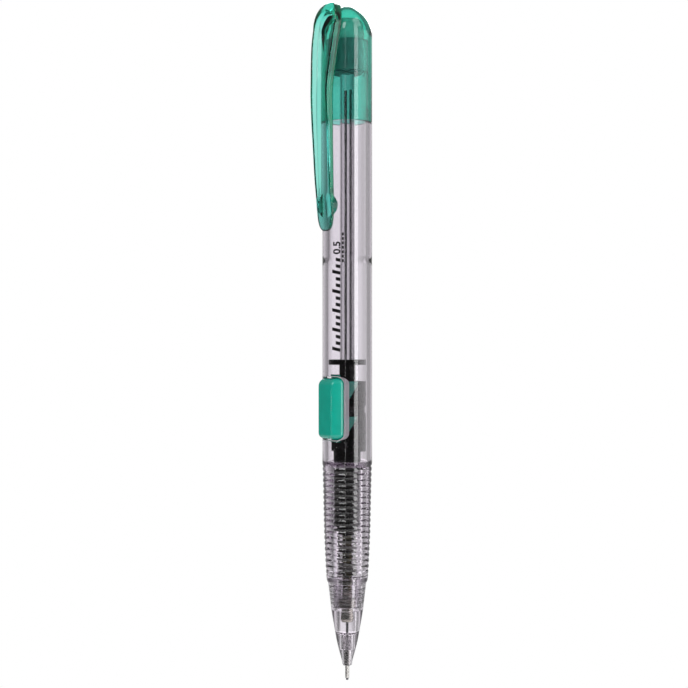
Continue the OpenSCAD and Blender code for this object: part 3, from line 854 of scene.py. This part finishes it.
def coil_spring():
    """Wire carried along a helix whose first and last turns lie close. The middle of the wire is
    (R cos t, R sin t, z(t)), and its section is a circle in the plane of the axis and radius."""
    wire_r, coil_r, turns = 0.2, 2.02, 15
    low, high = (c.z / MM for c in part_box("return_spring"))
    low, high = low + wire_r, high - wire_r
    t = np.linspace(0, 1, turns * 32 + 1)
    flat, closed = 2.2 * wire_r / (high - low), 1 / turns
    rise = np.interp(t, [0, closed, 1 - closed, 1], [0, flat, 1 - flat, 1])
    a = TURN * turns * t[:, None]
    b = (np.arange(12) * TURN / 12)[None, :]
    r = coil_r + wire_r * np.cos(b)
    z = (low + (high - low) * rise)[:, None] + wire_r * np.sin(b)
    grid = np.stack([r * np.cos(a), r * np.sin(a), z], -1)
    return mesh("coil_spring", [skin(grid)], WIRE_WITH_PAINTED_SHADE)


spring = place(coil_spring(), "carriage", "spring_wire", "return_spring")
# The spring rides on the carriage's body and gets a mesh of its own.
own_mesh(spring)


def eraser_stub():
    """The eraser's stick with a softly rounded top and a chamfered foot."""
    radius, low, high = R_ERASER - 0.04, Z_ERASER + 0.1, 143.6
    line = rounded_line([(0.05, low, 0), (radius, low, 0.25), (radius, high, 1.5), (0.05, high, 0)], 8)
    return mesh("eraser_stub", [skin(revolved(divided(line, 1.5), EVEN))], VINYL)


place(eraser_stub(), "eraser", "eraser_vinyl", "eraser")

for name, material in (
    ("cam_slider", BLACK), ("chuck_stem", BRASS_WITH_PAINTED_SHADE), ("chuck_jaw_a", PLATED), ("chuck_jaw_b", PLATED),
    ("chuck_jaw_c", PLATED), ("clutch_ring", PLATED), ("lead_retainer", RUBBER),
):
    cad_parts[name].data.materials[0] = material

# ---------------------------------------------------------------- printed marks

MARK_ANGLE = math.radians(24)
INK_DEEP = 0.012
# Heights where the bars, the figures and the short rule start, and half the bars' full height
BARS_LOW, FIGURES_LOW, RULE_LOW, MARK_HALF = 71.3, 92.3, 90.6, 1.0


def wrapped(shell):
    """Lays a flat shell, drawn as (along the barrel, across it, off it), on the barrel: across
    becomes an angle of that arc, and off is added to the radius."""
    p, faces = shell
    a = MARK_ANGLE - p[:, 1] / R_BARREL
    r = R_BARREL + 0.004 + p[:, 2]
    return np.stack([r * np.sin(a), -r * np.cos(a), p[:, 0]], 1), faces


def scale_bars():
    """A row of slanted bars, every third one full height, as a plain length scale."""
    bars = []
    count, pitch, wide, lean = 15, 1.38, 0.72, 0.45
    for i in range(count):
        tall = 1.0 if i % 3 == 0 else 0.55
        z, foot, head = BARS_LOW + pitch * i, -MARK_HALF, (2 * tall - 1) * MARK_HALF
        near, far = z + lean * tall, z + wide + lean * tall
        outline = [(z, foot), (z + wide, foot), (far, head), (near, head)]
        bars.append(wrapped(prism(outline, 0, INK_DEEP, 2)))
    return bars


def size_figures():
    """The lead's size, 0.5, in plain upright figures, and a short rule beside it."""
    text = bpy.data.curves.new("size_text", "FONT")
    text.body, text.size, text.offset = "0.5", 2.3, 0.075
    holder = bpy.data.objects.new("size_text", text)
    bpy.context.scene.collection.objects.link(holder)
    data = bpy.data.meshes.new_from_object(holder.evaluated_get(bpy.context.evaluated_depsgraph_get()))
    points = np.array([v.co for v in data.vertices], float)
    faces = [list(p.vertices) for p in data.polygons]
    bpy.data.objects.remove(holder)
    flat = points[:, :2] - points[:, :2].min(0)
    n = len(flat)
    edges = [(f[k], f[(k + 1) % len(f)]) for f in faces for k in range(len(f))]
    once, count = np.unique(np.sort(np.array(edges), 1), axis=0, return_counts=True)
    rims = {tuple(e) for e in once[count == 1]}
    sides = [[a, b, n + b, n + a] for a, b in edges if tuple(sorted((a, b))) in rims]
    base = np.column_stack([flat[:, 0] + FIGURES_LOW, flat[:, 1] - MARK_HALF, np.zeros(n)])
    solid = np.concatenate([base, base + [0, 0, INK_DEEP]])
    lids = [f[::-1] for f in faces] + [[v + n for v in f] for f in faces]
    shells = [wrapped((solid, lids + sides))]
    count, pitch, wide, near, far = 7, 0.95, 0.62, -1.75, -1.3
    for i in range(count):
        z = RULE_LOW + pitch * i
        dash = [(z, near), (z + wide, near), (z + wide, far), (z, far)]
        shells.append(wrapped(prism(dash, 0, INK_DEEP, 2)))
    return shells


place(mesh("printed_marks", scale_bars() + size_figures(), INK, 30), "barrel", "black_acetal")

# ---------------------------------------------------------------- stage, light and camera


def plain(name, colour, rough=0.9):
    made, tree, shader, where = finish(name, Roughness=rough)
    shade = tinted(tree, speckle(tree, where, 40, 2), colour, "#ffffff")
    tree.links.new(shade, shader.inputs["Base Color"])
    return made


def stage_floor():
    """A plain pale floor, well below the object so that the view past it stays plain."""
    radius, level = 300, -120
    rim = np.stack([radius * np.cos(EVEN), radius * np.sin(EVEN)], 1)
    floor = mesh("floor", [prism(rim, level - 5, level, 2)], plain("pale_paper", "#f4f4f4"))


VIEW_ANGLE = math.radians(50)
BACK = Vector((math.sin(VIEW_ANGLE), -math.cos(VIEW_ANGLE), 0))
RIGHT = Vector((math.cos(VIEW_ANGLE), math.sin(VIEW_ANGLE), 0))
MID_HEIGHT = 73.0 * MM
CAMERA_FAR, CAMERA_LEFT = 0.285, 0.7 * MM
# Half of the height and width that the picture takes in at the object
HALF_VIEW = 75.27 * MM


# Brightness of the studio's walls by the angle in degrees from behind the camera to its right:
# what clear plastic lets through, and what surfaces mirror
SEEN_THROUGH = [
    (-180, 0.95), (-158, 0.9), (-142, 0.3), (-126, 0.1), (-105, 0.15), (-90, 0.8), (-68, 0.7),
    (-45, 0.35), (-22, 0.8), (0, 0.9), (22, 0.8), (45, 0.35), (68, 0.7), (90, 0.8), (105, 0.2),
    (126, 0.08), (140, 0.22), (152, 0.38), (164, 0.5), (173, 0.85), (180, 0.95),
]
MIRRORED = [
    (-180, 0.9), (-150, 0.6), (-120, 0.25), (-90, 0.12), (-62, 0.05), (24, 0.04), (31, 0.1),
    (52, 0.9), (64, 1.7), (105, 1.5), (122, 0.3), (150, 0.4), (180, 0.9),
]
BRIGHTEST, OVERHEAD, ABOVE = 2.0, 0.3, 1.0


def studio_world():
    """A white room: white where it is seen. The plastic bends and mirrors walls whose brightness
    changes round the object, under a dimmer ceiling and over a dimmer ground."""
    world = bpy.data.worlds.new("studio")
    bpy.context.scene.world = world
    world.use_nodes = True
    tree = world.node_tree
    tree.nodes.clear()
    path = node(tree, "ShaderNodeLightPath").outputs
    way = node(tree, "ShaderNodeTexCoord").outputs["Generated"]
    along = [
        node(tree, "ShaderNodeVectorMath", {0: way, 1: axis}, operation="DOT_PRODUCT").outputs["Value"]
        for axis in (RIGHT, BACK)
    ]
    angle = node(tree, "ShaderNodeMath", {0: along[0], 1: along[1]}, operation="ARCTAN2").outputs[0]
    share = node(
        tree, "ShaderNodeMapRange", {"Value": angle, "From Min": -math.pi, "From Max": math.pi}
    ).outputs[0]
    shades = []
    for walls in (SEEN_THROUGH, MIRRORED):
        ramp = node(tree, "ShaderNodeValToRGB", {"Fac": share})
        stops = ramp.color_ramp.elements
        while len(stops) < len(walls):
            stops.new(0.5)
        for stop, (degrees, bright) in zip(stops, walls):
            stop.position = degrees / 360 + 0.5
            stop.color = (*[bright / BRIGHTEST] * 3, 1)
        shades.append(node(tree, "ShaderNodeBackground", {"Color": ramp.outputs[0], "Strength": BRIGHTEST}))
    up = node(tree, "ShaderNodeSeparateXYZ", {"Vector": way}).outputs[2]
    steep = node(tree, "ShaderNodeMath", {0: up}, operation="ABSOLUTE").outputs[0]
    steep = node(
        tree, "ShaderNodeMapRange", {"Value": steep, "From Min": 0.28, "From Max": 0.38},
        interpolation_type="SMOOTHSTEP",
    ).outputs[0]
    bounces = path["Glossy Depth"]
    once = node(tree, "ShaderNodeMath", {0: bounces, 1: 0.5}, operation="GREATER_THAN").outputs[0]
    ceiling = node(tree, "ShaderNodeBackground", {"Color": srgb("#fdfbfd"), "Strength": OVERHEAD})
    mirrored = node(tree, "ShaderNodeMixShader", {0: steep, 1: shades[1].outputs[0], 2: ceiling.outputs[0]})
    above = node(tree, "ShaderNodeBackground", {"Color": srgb("#fdfbfd"), "Strength": ABOVE})
    through = node(tree, "ShaderNodeMixShader", {0: steep, 1: shades[0].outputs[0], 2: above.outputs[0]})
    room = node(tree, "ShaderNodeMixShader", {0: once, 1: through.outputs[0], 2: mirrored.outputs[0]})
    seen = node(tree, "ShaderNodeBackground", {"Color": (1, 1, 1, 1), "Strength": 1.0})
    direct = path["Is Camera Ray"]
    mixed = node(tree, "ShaderNodeMixShader", {0: direct, 1: room.outputs[0], 2: seen.outputs[0]})
    node(tree, "ShaderNodeOutputWorld", {"Surface": mixed.outputs[0]})


def soft_box(name, angle, height, far, wide, tall, power):
    """A soft box that faces the object's middle from an angle off the view, to its right. It
    lights and is mirrored, but isn't seen through the plastic."""
    data = bpy.data.lights.new(name, "AREA")
    data.shape, data.size, data.size_y, data.energy = "RECTANGLE", wide, tall, power
    made = bpy.data.objects.new(name, data)
    made.visible_transmission = False
    a = math.radians(angle)
    way = BACK * math.cos(a) + RIGHT * math.sin(a)
    made.location = way * far + Vector((0, 0, MID_HEIGHT + height))
    made.rotation_euler = (Vector((0, 0, MID_HEIGHT)) - made.location).to_track_quat("-Z", "Y").to_euler()
    bpy.context.scene.collection.objects.link(made)


def camera():
    """Level with the barrel's middle, 50 degrees round from the clip, with a long lens."""
    data = bpy.data.cameras.new("camera")
    data.sensor_width = 36
    data.lens = data.sensor_width / 2 / (HALF_VIEW / CAMERA_FAR)
    data.clip_start, data.clip_end = 0.01, 10
    made = bpy.data.objects.new("camera", data)
    made.location = BACK * CAMERA_FAR - RIGHT * CAMERA_LEFT + Vector((0, 0, MID_HEIGHT))
    made.rotation_euler = (-BACK).to_track_quat("-Z", "Y").to_euler()
    bpy.context.scene.collection.objects.link(made)
    bpy.context.scene.camera = made


stage_floor()
studio_world()
# key lights the whole side, line and ridge draw thin lights down the barrel and the button's
# shoulder, face fills the button's face, and top and rear catch the upper edges
soft_box("key", 41.5, 0.0, 0.5, 0.16, 0.9, 2.2)
soft_box("line", -9, 0.0, 0.6, 0.03, 0.8, 0.15)
soft_box("ridge", -50, -0.045, 0.5, 0.05, 0.03, 0.08)
soft_box("face", -28, 0.45, 0.5, 0.35, 0.3, 1.7)
soft_box("top", 60, 0.5, 0.4, 0.3, 0.3, 0.8)
soft_box("rear", 175, 0.4, 0.5, 0.4, 0.4, 3.0)
camera()
bpy.context.scene.view_settings.view_transform = "Standard"
bpy.context.scene.cycles.max_bounces = 24
bpy.context.scene.cycles.transmission_bounces = 24
